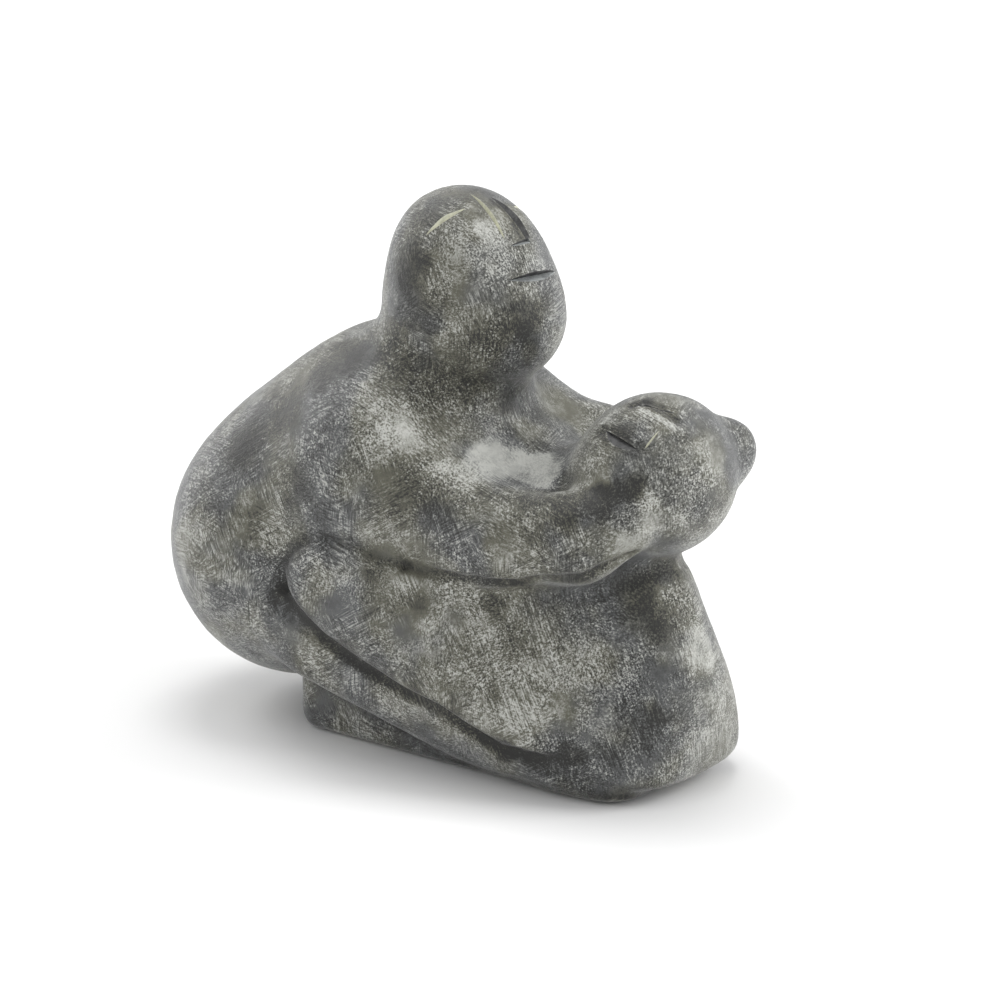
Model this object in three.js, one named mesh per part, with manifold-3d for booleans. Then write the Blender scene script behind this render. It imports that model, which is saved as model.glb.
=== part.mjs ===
// Stone mother and child. The mother sits folded over her drawn up knees and holds the
// child out in front of her in both hands. Both are carved from one grey stone.
// Millimetres, +Z up. She faces -Y and her left is +X. The origin is on the floor, under
// the middle of her outline.
import * as THREE from "three";
import { triTable } from "three/addons/objects/MarchingCubes.js";
import { mergeVertices } from "three/addons/utils/BufferGeometryUtils.js";
import Module from "manifold-3d";

// Driving size
const FIGURE_HEIGHT = 142.5;

// How deep the ends of the chisel cuts sit under the surface
const EYE_CUT_SINK = 0.35;
const NOSE_TOP_SINK = 0.1;
const NOSE_TIP_SINK = 1.4;
const NOSE_SIDE_SINK = 0.3;
const NOSE_BASE_SINK = 1.2;
const CHILD_NOSE_SINK = 0.4;

// Slopes of the walls of the cuts, in degrees away from the way out
const EYE_CUT_SLOPE = 36;
const STEEP_WALL = 14;
const FLAT_WALL = 58;
const NOSE_SIDE_WALL = 30;
const CHILD_FLAT_WALL = 52;
const MOUTH_UPPER_WALL = 16;
const MOUTH_LOWER_WALL = 42;

// The figure is drawn with lengths in parts, with this many parts in her height.
const PARTS_IN_HEIGHT = 142.5;
const part = FIGURE_HEIGHT / PARTS_IN_HEIGHT;

// Middle of her outline from front to back, in parts of the drawing
const OUTLINE_MIDDLE = 3.7;

// Fineness of the stone's skin
const SKIN_CELL = 2;
const SKIN_TRIANGLES = 9200;

const radians = THREE.MathUtils.degToRad;
const clamp = THREE.MathUtils.clamp;

// Soft join and soft overlap of two distances. The blend reaches over a length of k.
function join(a, b, k) {
  const h = Math.max(k - Math.abs(a - b), 0) / k;
  return Math.min(a, b) - 0.25 * h * h * k;
}

function overlap(a, b, k) {
  return -join(-a, -b, k);
}

// Distance to an ellipsoid. A tip above nought lowers its front.
function ball(middle, half, tip = 0) {
  const c = Math.cos(radians(tip));
  const s = Math.sin(radians(tip));
  return (x, y, z) => {
    const dy = y - middle[1];
    const dz = z - middle[2];
    const a = (x - middle[0]) / half[0];
    const b = (c * dy + s * dz) / half[1];
    const d = (c * dz - s * dy) / half[2];
    const near = Math.hypot(a, b, d);
    const slope = Math.hypot(a / half[0], b / half[1], d / half[2]);
    return (near * (near - 1)) / Math.max(slope, 1e-6);
  };
}

// Distance to a limb, which is a ball at each end and the straight taper between them.
// Flat presses it sideways, so that it stands taller than it is thick.
function limb(from, to, fromHalf, toHalf, flat = 1) {
  const start = new THREE.Vector3(from[0] * flat, from[1], from[2]);
  const axis = new THREE.Vector3(to[0] * flat, to[1], to[2]).sub(start);
  const length = axis.length();
  axis.divideScalar(length);
  const lean = (fromHalf - toHalf) / length;
  const stretch = Math.sqrt(1 - lean * lean);
  const reach = new THREE.Vector3();
  return (x, y, z) => {
    reach.set(x * flat, y, z).sub(start);
    const along = reach.dot(axis);
    const out = Math.sqrt(Math.max(reach.lengthSq() - along * along, 0));
    const t = clamp((along - (out * lean) / stretch) / length, 0, 1);
    const middle = t * length;
    const distance = Math.hypot(out, along - middle) - (fromHalf + (toHalf - fromHalf) * t);
    return distance / (flat > 1 ? 1.1 : 1);
  };
}

// Distance to a flat face through a point, with its outward direction
function face(point, normal) {
  const n = new THREE.Vector3(...normal).normalize();
  return (x, y, z) => (x - point[0]) * n.x + (y - point[1]) * n.y + (z - point[2]) * n.z;
}

// The body, head and child, each as a distance in parts from the middle plane's side
const rump = ball([0, 49.5, 44.9], [42.3, 35.5, 38.4], 5);
const back = ball([0, 17.4, 68.1], [35.9, 39, 37.5], 24.5);
const chest = ball([0, -10.8, 64.3], [30.6, 37, 17.4], 8);
const lap = ball([0, -33, 60], [24, 28, 16.8], 6);
const neck = limb([0, 5.6, 79.4], [0, 3.6, 107.4], 16.3, 13.3);
const skull = ball([0, -1.1, 118.4], [19.5, 21.6, 24.9], -30);
const jaw = ball([0, -1.6, 109], [17.5, 23.3, 14.7]);

// An arm runs from the shoulder over the elbow and the wrist to the palm. Her right arm lies
// lower than her left, and the fingers of her left hand stand up beside the child's head.
function arm(places, halves) {
  const [upper, fore, palm] = [0, 1, 2].map((n) =>
    limb(places[n], places[n + 1], halves[n], halves[n + 1], 1.3),
  );
  return (x, y, z) => join(join(upper(x, y, z), fore(x, y, z), 10), palm(x, y, z), 8);
}

const rightArm = arm(
  [[25, 11, 74], [26.3, -24, 63.3], [22.4, -50, 66.6], [18.6, -61, 71.2]],
  [14.7, 11, 9.6, 8.2],
);
const leftArm = arm(
  [[25, 11, 77], [27, -24, 70.3], [22.3, -51, 73], [17, -65.3, 80]],
  [14.7, 11, 9.6, 6.9],
);
const fingers = ball([16.6, -67.3, 84], [5.9, 7.1, 6.6]);

const childHead = ball([0, -58, 78.8], [21.4, 19.6, 20.3], 6);
const childChest = limb([0, -32, 69], [0, -52, 76], 12, 13);

// The folded legs are one block. Its faces are the outer side, the front, the toes, the
// tuck under the calf, the hem between thigh and shin, and the shin's lower edge.
const LEG_TURN = 27;
const LEG_LEAN = 17;
const LEG_SIDE = [35, -30, 30];
const legSide = face(LEG_SIDE, [
  Math.cos(radians(LEG_TURN)) * Math.cos(radians(LEG_LEAN)),
  -Math.sin(radians(LEG_TURN)) * Math.cos(radians(LEG_LEAN)),
  Math.sin(radians(LEG_LEAN)),
]);
const legFront = face([0, -72.8, 40], [0, -Math.cos(radians(19)), Math.sin(radians(19))]);
const toes = face([0, -75.6, 10], [0, -0.93, -0.37]);
const hem = face([0, -10, 21.6], [0, Math.sin(radians(18.8)), -Math.cos(radians(18.8))]);
const tuck = face([38, 0, 21], [Math.cos(radians(28)), 0, -Math.sin(radians(28))]);
const shinEdge = face([0, 0, 8.5], [0, Math.sin(radians(17)), -Math.cos(radians(17))]);
const LEG_TOP = 60;
const THIGH_HALF_WIDTH = 40.4;
const THIGH_BACK = 32.7;
const SHIN_BACK = 40;

function thigh(x, y, z) {
  let d = overlap(legSide(x, y, z), legFront(x, y, z), 12);
  d = overlap(d, toes(x, y, z), 12);
  d = overlap(d, x - THIGH_HALF_WIDTH, 10);
  d = overlap(d, z - LEG_TOP, 9);
  d = overlap(d, y - THIGH_BACK, 12);
  return overlap(d, hem(x, y, z), 8);
}

function shin(x, y, z) {
  let d = overlap(legSide(x, y, z) + 0.8, legFront(x, y, z) + 0.6, 12);
  d = overlap(d, x - THIGH_HALF_WIDTH + 1.5, 8);
  d = overlap(d, tuck(x, y, z), 8);
  d = overlap(d, -hem(x, y, z) - 1, 5);
  d = overlap(d, toes(x, y, z), 12);
  d = overlap(d, shinEdge(x, y, z), 4);
  return overlap(d, y - SHIN_BACK, 12);
}

// The feet are a low block with round corners, set back under the shins.
const FOOT_HALF_WIDTH = 26.5;
const FOOT_BACK = 37.6;
const FOOT_FRONT = -34;
const FOOT_TOP = 20;
const FOOT_ROUND = 7;

function feet(x, y, z) {
  const a = x - FOOT_HALF_WIDTH + FOOT_ROUND;
  const b = Math.abs(y - (FOOT_BACK + FOOT_FRONT) / 2) - (FOOT_BACK - FOOT_FRONT) / 2 + FOOT_ROUND;
  const c = Math.abs(z) - FOOT_TOP + FOOT_ROUND;
  const outside = Math.hypot(Math.max(a, 0), Math.max(b, 0), Math.max(c, 0));
  return outside + Math.min(Math.max(a, b, c), 0) - FOOT_ROUND;
}

// The whole figure. Her arms flow into her back and stand clear of her chest.
function figure(px, y, z) {
  const x = Math.abs(px);
  const arms = Math.min(rightArm(-px, y, z), leftArm(px, y, z));
  const trunk = join(join(rump(x, y, z), back(x, y, z), 20), join(chest(x, y, z), lap(x, y, z), 10), 14);
  const head = join(join(skull(x, y, z), jaw(x, y, z), 10), neck(x, y, z), 8);
  let d = join(trunk, arms, 6 + 12 * clamp((y + 25) / 35, 0, 1));
  d = join(d, head, 9);
  d = join(d, shin(x, y, z), 8);
  d = join(d, thigh(x, y, z), 2.5);
  d = join(d, feet(x, y, z), 2);
  d = join(d, fingers(px, y, z), 6);
  return join(d, join(childHead(x, y, z), childChest(x, y, z), 8), 4);
}

// Outward direction of the form at a point
function outward(point) {
  const e = 0.05;
  const { x, y, z } = point;
  return new THREE.Vector3(
    figure(x + e, y, z) - figure(x - e, y, z),
    figure(x, y + e, z) - figure(x, y - e, z),
    figure(x, y, z + e) - figure(x, y, z - e),
  ).normalize();
}

// The form's skin as points and triangles, from a grid of cells that the form crosses.
// The floor later cuts off what reaches below it.
function skinOf(low, high, cell) {
  const steps = [0, 1, 2].map((i) => Math.ceil((high[i] - low[i]) / cell) + 1);
  const at = (i, j, k) => i + steps[0] * (j + steps[1] * k);
  const place = (i, j, k) => new THREE.Vector3(low[0] + i * cell, low[1] + j * cell, low[2] + k * cell);
  const values = new Float64Array(steps[0] * steps[1] * steps[2]);
  for (let k = 0; k < steps[2]; k += 1) {
    for (let j = 0; j < steps[1]; j += 1) {
      for (let i = 0; i < steps[0]; i += 1) {
        const p = place(i, j, k);
        values[at(i, j, k)] = figure(p.x, p.y, p.z);
      }
    }
  }
  const corners = [[0, 0, 0], [1, 0, 0], [1, 1, 0], [0, 1, 0], [0, 0, 1], [1, 0, 1], [1, 1, 1], [0, 1, 1]];
  const edges = [0, 1, 2, 3, 4, 5, 6, 7, 0, 1, 2, 3].map((start, edge) => {
    if (edge >= 8) return [start, start + 4];
    return [start, start % 4 === 3 ? start - 3 : start + 1];
  });
  const points = [];
  const known = new Map();
  const pointOn = (i, j, k, [a, b]) => {
    const [pa, pb] = [a, b].map((c) => [i + corners[c][0], j + corners[c][1], k + corners[c][2]]);
    const [ia, ib] = [at(...pa), at(...pb)];
    const key = Math.min(ia, ib) * values.length + Math.max(ia, ib);
    if (!known.has(key)) {
      const t = clamp(values[ia] / (values[ia] - values[ib]), 0.02, 0.98);
      known.set(key, points.push(place(...pa).lerp(place(...pb), t)) - 1);
    }
    return known.get(key);
  };
  const triangles = [];
  for (let k = 0; k < steps[2] - 1; k += 1) {
    for (let j = 0; j < steps[1] - 1; j += 1) {
      for (let i = 0; i < steps[0] - 1; i += 1) {
        const sign = corners.reduce(
          (bits, [a, b, c], n) => bits | (values[at(i + a, j + b, k + c)] < 0 ? 1 << n : 0),
          0,
        );
        for (let n = sign * 16; triTable[n] !== -1; n += 3) {
          const [a, b, c] = [0, 1, 2].map((m) => pointOn(i, j, k, edges[triTable[n + m]]));
          triangles.push([a, c, b]);
        }
      }
    }
  }
  return { points, triangles };
}

// Thins the skin out where it is nearly flat. Each step closes up the edge that changes the
// form least, as long as the skin stays whole and no triangle turns over.
function thinOut({ points, triangles }, wanted) {
  const stamps = points.map(() => 0);
  const around = points.map(() => new Set());
  triangles.forEach((corners, index) => corners.forEach((corner) => around[corner].add(index)));
  const normalOf = ([a, b, c], swap = -1, moved = null) => {
    const [p, q, r] = [a, b, c].map((v) => (v === swap ? moved : points[v]));
    return q.clone().sub(p).cross(r.clone().sub(p));
  };
  const quadrics = points.map((p, v) => {
    const sum = new Float64Array(10);
    const add = (n, d, weight) => {
      const row = [n.x, n.y, n.z, d];
      let slot = 0;
      for (let a = 0; a < 4; a += 1) {
        for (let b = a; b < 4; b += 1) {
          sum[slot] += weight * row[a] * row[b];
          slot += 1;
        }
      }
    };
    around[v].forEach((index) => {
      const n = normalOf(triangles[index]);
      const area = n.length() / 2;
      n.normalize();
      add(n, -n.dot(p), area);
      [[1, 0, 0], [0, 1, 0], [0, 0, 1]].forEach((axis) => {
        const m = new THREE.Vector3(...axis);
        add(m, -m.dot(p), area * 0.002);
      });
    });
    return sum;
  });
  const errorAt = (q, { x, y, z }) =>
    q[0] * x * x + q[4] * y * y + q[7] * z * z + q[9] +
    2 * (q[1] * x * y + q[2] * x * z + q[5] * y * z + q[3] * x + q[6] * y + q[8] * z);
  const bestPoint = (q) => {
    const m = new THREE.Matrix3().set(q[0], q[1], q[2], q[1], q[4], q[5], q[2], q[5], q[7]);
    return new THREE.Vector3(-q[3], -q[6], -q[8]).applyMatrix3(m.invert());
  };
  const heap = [];
  const rise = (n) => {
    for (let up = (n - 1) >> 1; n > 0 && heap[up].cost > heap[n].cost; up = (n - 1) >> 1) {
      [heap[up], heap[n]] = [heap[n], heap[up]];
      n = up;
    }
  };
  const sink = (n) => {
    for (;;) {
      let least = n;
      for (const child of [2 * n + 1, 2 * n + 2]) {
        if (child < heap.length && heap[child].cost < heap[least].cost) least = child;
      }
      if (least === n) return;
      [heap[least], heap[n]] = [heap[n], heap[least]];
      n = least;
    }
  };
  const offer = (a, b) => {
    const q = quadrics[a].map((value, n) => value + quadrics[b][n]);
    const point = bestPoint(q);
    heap.push({ cost: errorAt(q, point), a, b, q, point, stamp: stamps[a] + stamps[b] });
    rise(heap.length - 1);
  };
  const take = () => {
    const top = heap[0];
    const last = heap.pop();
    if (heap.length > 0) {
      heap[0] = last;
      sink(0);
    }
    return top;
  };
  const neighbours = (v) => {
    const found = new Set();
    around[v].forEach((index) => triangles[index].forEach((corner) => found.add(corner)));
    found.delete(v);
    return found;
  };
  const turnsOver = (v, other, point) =>
    [...around[v]].some((index) => {
      if (triangles[index].includes(other)) return false;
      const before = normalOf(triangles[index]);
      const after = normalOf(triangles[index], v, point);
      return before.dot(after) < 0.25 * before.length() * after.length();
    });
  points.forEach((p, v) => neighbours(v).forEach((other) => other > v && offer(v, other)));
  let left = triangles.length;
  while (left > wanted && heap.length > 0) {
    const { a, b, q, point, stamp } = take();
    const fresh = around[a].size > 0 && around[b].size > 0 && stamp === stamps[a] + stamps[b];
    if (!fresh || turnsOver(a, b, point) || turnsOver(b, a, point)) continue;
    const near = neighbours(b);
    if ([...neighbours(a)].filter((v) => near.has(v)).length !== 2) continue;
    around[b].forEach((index) => {
      if (triangles[index].includes(a)) {
        triangles[index].forEach((corner) => corner !== b && around[corner].delete(index));
        left -= 1;
      } else {
        triangles[index] = triangles[index].map((corner) => (corner === b ? a : corner));
        around[a].add(index);
      }
    });
    around[b] = new Set();
    points[a] = point;
    quadrics[a] = q;
    stamps[a] = Math.max(stamps[a], stamps[b]) + 1;
    neighbours(a).forEach((other) => offer(a, other));
  }
  const kept = new Set(around.flatMap((set) => [...set]));
  return { points, triangles: [...kept].map((index) => triangles[index]) };
}

// A closed solid from a geometry whose shared corners are merged
const wasm = await Module();
wasm.setup();

function solidOf(geometry) {
  const bare = geometry.clone();
  bare.deleteAttribute("normal");
  bare.deleteAttribute("uv");
  const merged = mergeVertices(bare, 1e-4);
  return new wasm.Manifold(
    new wasm.Mesh({
      numProp: 3,
      vertProperties: new Float32Array(merged.attributes.position.array),
      triVerts: new Uint32Array(merged.index.array),
    }),
  );
}

// The skin's points are set back onto the form, and the drawing is brought to size.
function figureSolid() {
  const skin = thinOut(skinOf([-47, -84, -24], [47, 92, 152], SKIN_CELL), SKIN_TRIANGLES);
  const numbers = new Map();
  const positions = [];
  const indices = skin.triangles.flat().map((v) => {
    if (!numbers.has(v)) {
      const p = skin.points[v].clone();
      for (let n = 0; n < 2; n += 1) p.addScaledVector(outward(p), -figure(p.x, p.y, p.z));
      numbers.set(v, numbers.size);
      positions.push(p.x * part, (p.y - OUTLINE_MIDDLE) * part, p.z * part);
    }
    return numbers.get(v);
  });
  const geometry = new THREE.BufferGeometry();
  geometry.setAttribute("position", new THREE.Float32BufferAttribute(positions, 3));
  geometry.setIndex(indices);
  return solidOf(geometry);
}

// Everything below the floor plane, which leaves the underside flat
function belowFloor() {
  const reach = FIGURE_HEIGHT * 2;
  return solidOf(new THREE.BoxGeometry(reach, reach, reach).translate(0, 0, -reach / 2));
}

// Finds the stone's surface from inside a head. The direction has a share to her left, a
// share forward and a share up, and turns with the face.
function onSurface(head, [left, forward, up]) {
  const turn = radians(head.turn);
  const way = new THREE.Vector3(
    left * Math.cos(turn) - forward * Math.sin(turn),
    -left * Math.sin(turn) - forward * Math.cos(turn),
    up,
  ).normalize();
  let reach = 0;
  for (let n = 0; n < 60; n += 1) {
    const p = way.clone().multiplyScalar(reach).add(head.middle);
    reach -= figure(p.x, p.y, p.z);
  }
  const p = way.multiplyScalar(reach).add(head.middle);
  p.y -= OUTLINE_MIDDLE;
  return p.multiplyScalar(part);
}

// A chisel cut is a long wedge. Its keel runs straight between two points that lie under the
// surface by the two sinks, so a cut across a round head is deepest in its middle. The two
// slopes are the angles of its walls, the first one on the wall to the left of its way.
function chiselCut(head, { from, to, sinks, slopes }) {
  const core = head.middle.clone().sub(new THREE.Vector3(0, OUTLINE_MIDDLE, 0)).multiplyScalar(part);
  const [start, end] = [from, to].map((way, n) => {
    const place = onSurface(head, way);
    return place.addScaledVector(core.clone().sub(place).normalize(), sinks[n] * part);
  });
  const along = end.clone().sub(start);
  const length = along.length();
  along.divideScalar(length);
  const out = start.clone().add(end).multiplyScalar(0.5).sub(core);
  out.addScaledVector(along, -out.dot(along)).normalize();
  const across = out.clone().cross(along);
  const rise = 8 * part;
  const wedge = new THREE.Shape([
    new THREE.Vector2(0, 0),
    new THREE.Vector2(rise * Math.tan(radians(slopes[0])), rise),
    new THREE.Vector2(-rise * Math.tan(radians(slopes[1])), rise),
  ]);
  const geometry = new THREE.ExtrudeGeometry(wedge, { depth: length, bevelEnabled: false });
  const place = new THREE.Matrix4().makeBasis(across, out, along);
  place.setPosition(start);
  return solidOf(geometry.applyMatrix4(place));
}

// Her face looks up and a little towards her right hand. The child's looks up to her.
const motherHead = { middle: new THREE.Vector3(0, -1.5, 114), turn: 8 };
const childFace = { middle: new THREE.Vector3(0, -57.2, 80), turn: 0 };

const motherCuts = [
  {
    from: [-15.8, -0.6, 18.9],
    to: [-7.5, 4.9, 25.2],
    sinks: [EYE_CUT_SINK, EYE_CUT_SINK],
    slopes: [EYE_CUT_SLOPE, EYE_CUT_SLOPE],
  },
  {
    from: [14.2, 3.4, 19],
    to: [6.1, 8.3, 24],
    sinks: [EYE_CUT_SINK, EYE_CUT_SINK],
    slopes: [EYE_CUT_SLOPE, EYE_CUT_SLOPE],
  },
  {
    from: [-2.8, 1.4, 27.9],
    to: [-4, 15.6, 18.6],
    sinks: [NOSE_TOP_SINK, NOSE_SIDE_SINK],
    slopes: [NOSE_SIDE_WALL, STEEP_WALL],
  },
  {
    from: [0.9, 4.6, 26.9],
    to: [2.6, 16.3, 18],
    sinks: [NOSE_TOP_SINK, NOSE_TIP_SINK],
    slopes: [FLAT_WALL, STEEP_WALL],
  },
  {
    from: [-4.5, 16.6, 17],
    to: [3.6, 16.6, 18.2],
    sinks: [0, NOSE_BASE_SINK],
    slopes: [STEEP_WALL, FLAT_WALL],
  },
  {
    from: [-7.6, 19.3, 9.4],
    to: [10.2, 18.7, 8.7],
    sinks: [0, 0],
    slopes: [MOUTH_UPPER_WALL, MOUTH_LOWER_WALL],
  },
];

const childCuts = [
  {
    from: [-19.2, 9.3, 11.2],
    to: [-11.1, 9.1, 14],
    sinks: [EYE_CUT_SINK, EYE_CUT_SINK],
    slopes: [EYE_CUT_SLOPE, EYE_CUT_SLOPE],
  },
  {
    from: [-13.6, -6.8, 12.7],
    to: [-19.2, 9.1, 11.2],
    sinks: [CHILD_NOSE_SINK, CHILD_NOSE_SINK],
    slopes: [STEEP_WALL, CHILD_FLAT_WALL],
  },
  {
    from: [-7.8, -3, 18],
    to: [-4.6, 9, 16.9],
    sinks: [CHILD_NOSE_SINK, CHILD_NOSE_SINK],
    slopes: [CHILD_FLAT_WALL, STEEP_WALL],
  },
];

let stone = figureSolid().subtract(belowFloor());
motherCuts.forEach((cut) => {
  stone = stone.subtract(chiselCut(motherHead, cut));
});
childCuts.forEach((cut) => {
  stone = stone.subtract(chiselCut(childFace, cut));
});

// The finished stone as a mesh
const carved = stone.getMesh();
const geometry = new THREE.BufferGeometry();
geometry.setAttribute("position", new THREE.BufferAttribute(new Float32Array(carved.vertProperties), 3));
geometry.setIndex(new THREE.BufferAttribute(new Uint32Array(carved.triVerts), 1));
geometry.computeVertexNormals();

const greyStone = new THREE.MeshStandardMaterial({ color: 0x6a6b66, roughness: 0.55, metalness: 0 });
const figureMesh = new THREE.Mesh(geometry, greyStone);
figureMesh.name = "mother_and_child";

const sculpture = new THREE.Group();
sculpture.add(figureMesh);

export default sculpture;
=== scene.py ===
"""Look of a stone carving of a mother who holds out her child.

The carving is one stone. Lengths in the drawing are in millimetres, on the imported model's
axes: she faces -Y, her left is +X and +Z is up.
"""

import logging
import math
from collections.abc import Callable, Iterator, Sequence
from dataclasses import dataclass, field
from enum import Enum

import bmesh
import bpy
import numpy as np
from mathutils import Matrix, Vector, noise


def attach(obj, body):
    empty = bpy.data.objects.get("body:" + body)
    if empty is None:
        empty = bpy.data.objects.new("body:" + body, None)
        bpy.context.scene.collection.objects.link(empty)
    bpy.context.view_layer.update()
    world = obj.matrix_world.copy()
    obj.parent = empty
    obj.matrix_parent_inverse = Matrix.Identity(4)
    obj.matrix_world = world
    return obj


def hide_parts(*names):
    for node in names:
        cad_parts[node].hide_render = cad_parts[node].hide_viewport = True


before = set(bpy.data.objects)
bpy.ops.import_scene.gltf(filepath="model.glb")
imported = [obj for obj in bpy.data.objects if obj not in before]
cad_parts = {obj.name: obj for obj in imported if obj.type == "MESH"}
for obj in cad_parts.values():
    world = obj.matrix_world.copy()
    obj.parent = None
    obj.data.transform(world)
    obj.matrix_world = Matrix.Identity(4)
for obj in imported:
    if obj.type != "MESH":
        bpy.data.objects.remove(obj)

LOG = logging.getLogger("carving")
NODE = "mother_and_child"
METRES = 0.001
OUTLINE_MIDDLE = 3.7
SCRATCH_WAYS = ((14, 84), (-32, 97), (58, 78), (-72, 40), (6, 20), (-8, 62))
SCRATCH_SIZE = (0.012, 0.00042, 0.00042)

Triple = tuple[float, float, float]


def join(a: np.ndarray, b: np.ndarray, reach: float | np.ndarray) -> np.ndarray:
    """Join two distances softly.

    Args:
        a: Distances to the first form.
        b: Distances to the second form.
        reach: Length over which the blend runs.

    Returns:
        Distances to the joined form.
    """
    share = np.maximum(reach - np.abs(a - b), 0.0) / reach
    return np.minimum(a, b) - 0.25 * share * share * reach


def overlap(a: np.ndarray, b: np.ndarray, reach: float) -> np.ndarray:
    """Keep what two forms share, with a soft edge.

    Args:
        a: Distances to the first form.
        b: Distances to the second form.
        reach: Length over which the edge is rounded.

    Returns:
        Distances to the shared form.
    """
    return -join(-a, -b, reach)


@dataclass(frozen=True)
class Ball:
    """An ellipsoid whose front is lowered by the tip, in degrees."""

    middle: Triple
    half: Triple
    tip: float = 0.0

    def distance(self, p: np.ndarray) -> np.ndarray:
        """Give the distances of points to the ellipsoid."""
        c, s = math.cos(math.radians(self.tip)), math.sin(math.radians(self.tip))
        d = p - np.array(self.middle)
        a = d[:, 0] / self.half[0]
        b = (c * d[:, 1] + s * d[:, 2]) / self.half[1]
        e = (c * d[:, 2] - s * d[:, 1]) / self.half[2]
        near = np.sqrt(a * a + b * b + e * e)
        slope = np.sqrt((a / self.half[0]) ** 2 + (b / self.half[1]) ** 2 + (e / self.half[2]) ** 2)
        return near * (near - 1.0) / np.maximum(slope, 1e-6)


@dataclass(frozen=True)
class Limb:
    """A tapered limb with round ends, which flat presses sideways."""

    start: Triple
    end: Triple
    start_half: float
    end_half: float
    flat: float = 1.0

    def distance(self, p: np.ndarray) -> np.ndarray:
        """Give the distances of points to the limb."""
        squeeze = np.array([self.flat, 1.0, 1.0])
        start = np.array(self.start) * squeeze
        axis = np.array(self.end) * squeeze - start
        length = float(np.linalg.norm(axis))
        axis = axis / length
        lean = (self.start_half - self.end_half) / length
        stretch = math.sqrt(1.0 - lean * lean)
        reach = p * squeeze - start
        along = reach @ axis
        out = np.sqrt(np.maximum((reach * reach).sum(1) - along * along, 0.0))
        t = np.clip((along - out * lean / stretch) / length, 0.0, 1.0)
        half = self.start_half + (self.end_half - self.start_half) * t
        return (np.hypot(out, along - t * length) - half) / (1.1 if self.flat > 1.0 else 1.0)


@dataclass(frozen=True)
class Face:
    """A flat face through a point, with its outward direction."""

    point: Triple
    normal: Triple

    def distance(self, p: np.ndarray) -> np.ndarray:
        """Give the distances of points in front of the face."""
        n = np.array(self.normal)
        return (p - np.array(self.point)) @ (n / np.linalg.norm(n))


@dataclass
class Trunk:
    """Her body, from the rump over the back to the lap."""

    rump: Ball = Ball((0, 49.5, 44.9), (42.3, 35.5, 38.4), 5)
    back: Ball = Ball((0, 17.4, 68.1), (35.9, 39, 37.5), 24.5)
    chest: Ball = Ball((0, -10.8, 64.3), (30.6, 37, 17.4), 8)
    lap: Ball = Ball((0, -33, 60), (24, 28, 16.8), 6)
    back_blend: float = 20
    lap_blend: float = 10
    waist_blend: float = 14

    def distance(self, p: np.ndarray) -> np.ndarray:
        """Give the distances of points to the body."""
        behind = join(self.rump.distance(p), self.back.distance(p), self.back_blend)
        before = join(self.chest.distance(p), self.lap.distance(p), self.lap_blend)
        return join(behind, before, self.waist_blend)


@dataclass
class Head:
    """Her head, which looks up, on its neck."""

    skull: Ball = Ball((0, -1.1, 118.4), (19.5, 21.6, 24.9), -30)
    jaw: Ball = Ball((0, -1.6, 109), (17.5, 23.3, 14.7))
    neck: Limb = Limb((0, 5.6, 79.4), (0, 3.6, 107.4), 16.3, 13.3)
    jaw_blend: float = 10
    neck_blend: float = 8

    def distance(self, p: np.ndarray) -> np.ndarray:
        """Give the distances of points to the head and neck."""
        face = join(self.skull.distance(p), self.jaw.distance(p), self.jaw_blend)
        return join(face, self.neck.distance(p), self.neck_blend)


@dataclass(frozen=True)
class Arm:
    """One arm, from the shoulder over the elbow and the wrist to the palm."""

    shoulder: Triple
    elbow: Triple
    wrist: Triple
    palm: Triple
    halves: tuple[float, float, float, float]
    flat: float = 1.3
    elbow_blend: float = 10
    wrist_blend: float = 8

    def distance(self, p: np.ndarray) -> np.ndarray:
        """Give the distances of points to the arm."""
        a, b, c, d = self.halves
        upper = Limb(self.shoulder, self.elbow, a, b, self.flat).distance(p)
        fore = Limb(self.elbow, self.wrist, b, c, self.flat).distance(p)
        hand = Limb(self.wrist, self.palm, c, d, self.flat).distance(p)
        return join(join(upper, fore, self.elbow_blend), hand, self.wrist_blend)


RIGHT_ARM = Arm(
    shoulder=(25, 11, 74),
    elbow=(26.3, -24, 63.3),
    wrist=(22.4, -50, 66.6),
    palm=(18.6, -61, 71.2),
    halves=(14.7, 11, 9.6, 8.2),
)
LEFT_ARM = Arm(
    shoulder=(25, 11, 77),
    elbow=(27, -24, 70.3),
    wrist=(22.3, -51, 73),
    palm=(17, -65.3, 80),
    halves=(14.7, 11, 9.6, 6.9),
)


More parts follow.
